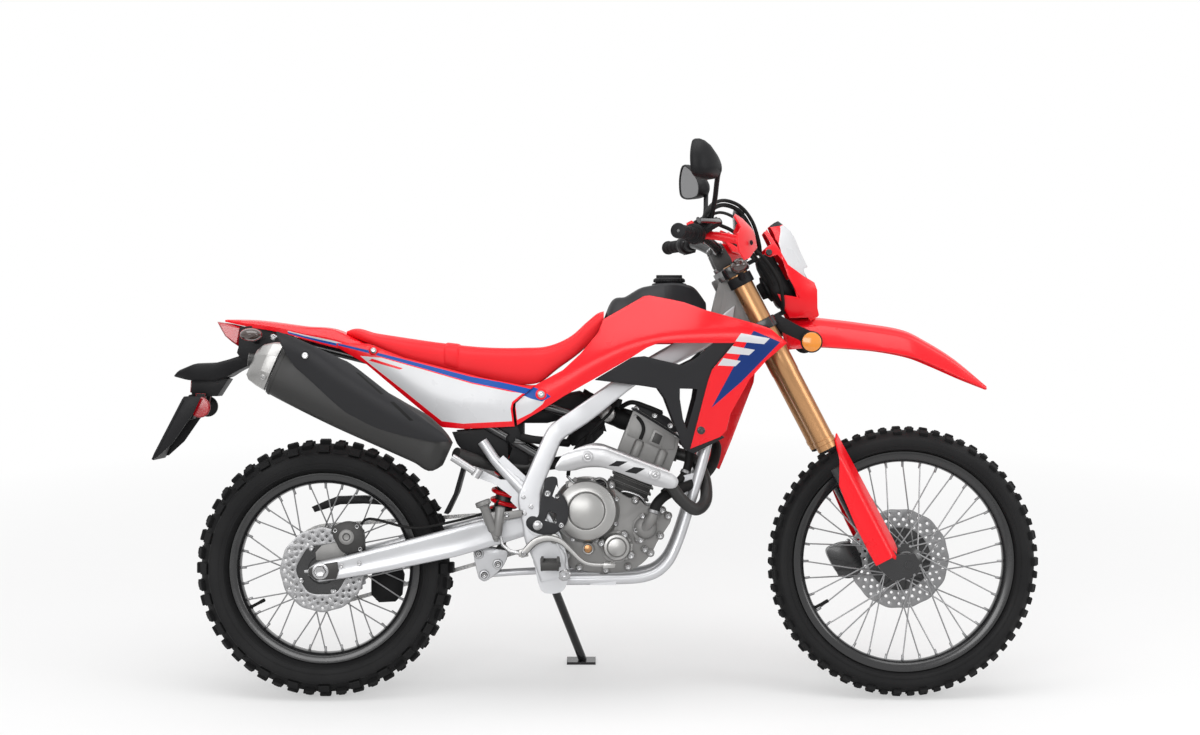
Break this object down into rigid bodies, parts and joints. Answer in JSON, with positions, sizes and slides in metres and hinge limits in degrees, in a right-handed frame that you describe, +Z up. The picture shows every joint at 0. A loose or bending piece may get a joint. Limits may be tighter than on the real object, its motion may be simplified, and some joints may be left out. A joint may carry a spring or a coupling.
{
  "type": "dual sport motorcycle",
  "caption": "Light dual sport motorcycle leaning on its side stand, with turning wheels, steering, a folding stand, pillion pegs and a lift-off fuel cap.",
  "frame": {"origin": "centre of the bounding box's bottom face, on the ground under the parked motorcycle", "axes": "+X towards the front wheel, +Y to the rider's left, the side it leans to, +Z up"},
  "size_m": [2.2209, 0.8329, 1.4143],
  "materials": {
    "frame_silver": "silver satin paint",
    "frame_dark": "black satin paint",
    "alloy": "cast and brushed aluminium",
    "engine_metal": "warm grey cast aluminium",
    "steel": "brushed steel",
    "gold": "gold anodised aluminium",
    "red_plastic": "gloss red plastic",
    "white_plastic": "gloss white plastic",
    "black_plastic": "matt black plastic",
    "grey_plastic": "dark grey plastic",
    "seat_cover": "red grained seat cover",
    "rubber": "black rubber",
    "tyre": "black tyre rubber",
    "rim_black": "black rim",
    "lamp": "amber and clear lens",
    "red_lamp": "red lens",
    "dark_exhaust": "dark heat resistant paint",
    "mirror_glass": "black mirror shell"
  },
  "bodies": {
    "chassis": {"frame_spars": "frame_silver", "frame_cradle": "frame_silver", "subframe": "frame_dark", "swingarm": "alloy", "rear_suspension": "steel", "engine_cases": "engine_metal", "engine_cylinder": "engine_metal", "engine_covers": "engine_metal", "airbox": "black_plastic", "exhaust_pipe": "dark_exhaust", "muffler": "alloy", "exhaust_shields": "grey_plastic", "radiator": "frame_dark", "fuel_tank": "grey_plastic", "shrouds": "red_plastic", "shroud_lattices": "grey_plastic", "seat": "seat_cover", "side_covers": "white_plastic", "tail_cowl": "red_plastic", "rear_fender": "black_plastic", "tail_lamps": "red_lamp", "drive_chain": "steel", "chain_guard": "black_plastic", "rider_pegs": "steel", "foot_controls": "alloy", "peg_hangers": "alloy", "rear_caliper": "engine_metal"},
    "steering": {"triple_clamps": "frame_dark", "fork_tubes": "gold", "fork_legs": "engine_metal", "fork_guards": "red_plastic", "handlebar": "frame_dark", "hand_controls": "rubber", "mirrors": "mirror_glass", "hand_guards": "red_plastic", "headlight_cowl": "white_plastic", "headlight": "black_plastic", "instrument": "black_plastic", "front_fender": "red_plastic", "front_lamps": "lamp", "front_caliper": "engine_metal"},
    "front_wheel": {"front_tyre": "tyre", "front_rim": "rim_black", "front_hub": "rim_black", "front_disc": "steel"},
    "rear_wheel": {"rear_tyre": "tyre", "rear_rim": "rim_black", "rear_hub": "rim_black", "rear_disc": "steel", "rear_sprocket": "steel"},
    "side_stand": {"side_stand": "frame_dark"},
    "fuel_cap": {"fuel_cap": "grey_plastic"},
    "pillion_peg_right": {"pillion_peg_right": "alloy"},
    "pillion_peg_left": {"pillion_peg_left": "alloy"}
  },
  "joints": [
    {"name": "steering", "type": "hinge", "parent": "chassis", "child": "steering", "pos_m": [0.35851, -0.03115, 0.96605], "axis": [-0.4617, 0.154, 0.8735], "range_deg": [-43, 43]},
    {"name": "front_wheel_spin", "type": "hinge", "parent": "steering", "child": "front_wheel", "pos_m": [0.76951, -0.14211, 0.33676], "axis": [0, 0.9848, -0.1736], "continuous": true},
    {"name": "rear_wheel_spin", "type": "hinge", "parent": "chassis", "child": "rear_wheel", "pos_m": [-0.68549, -0.14489, 0.321], "axis": [0, 0.9848, -0.1736], "continuous": true},
    {"name": "side_stand_fold", "type": "hinge", "parent": "chassis", "child": "side_stand", "pos_m": [-0.12749, -0.00481, 0.26889], "axis": [0.2122, 0.8953, 0.3917], "range_deg": [0, 113.28]},
    {"name": "pillion_peg_right_fold", "type": "hinge", "parent": "chassis", "child": "pillion_peg_right", "pos_m": [-0.29349, -0.30782, 0.60054], "axis": [0.5391, 0.1463, 0.8295], "range_deg": [0, 90]},
    {"name": "pillion_peg_left_fold", "type": "hinge", "parent": "chassis", "child": "pillion_peg_left", "pos_m": [-0.29349, 0.10383, 0.52796], "axis": [-0.5391, -0.1463, -0.8295], "range_deg": [0, 90]},
    {"name": "fuel_cap_lift", "type": "slide", "parent": "chassis", "child": "fuel_cap", "axis": [0, 0.1736, 0.9848], "range_m": [0, 0.06]}
  ]
}
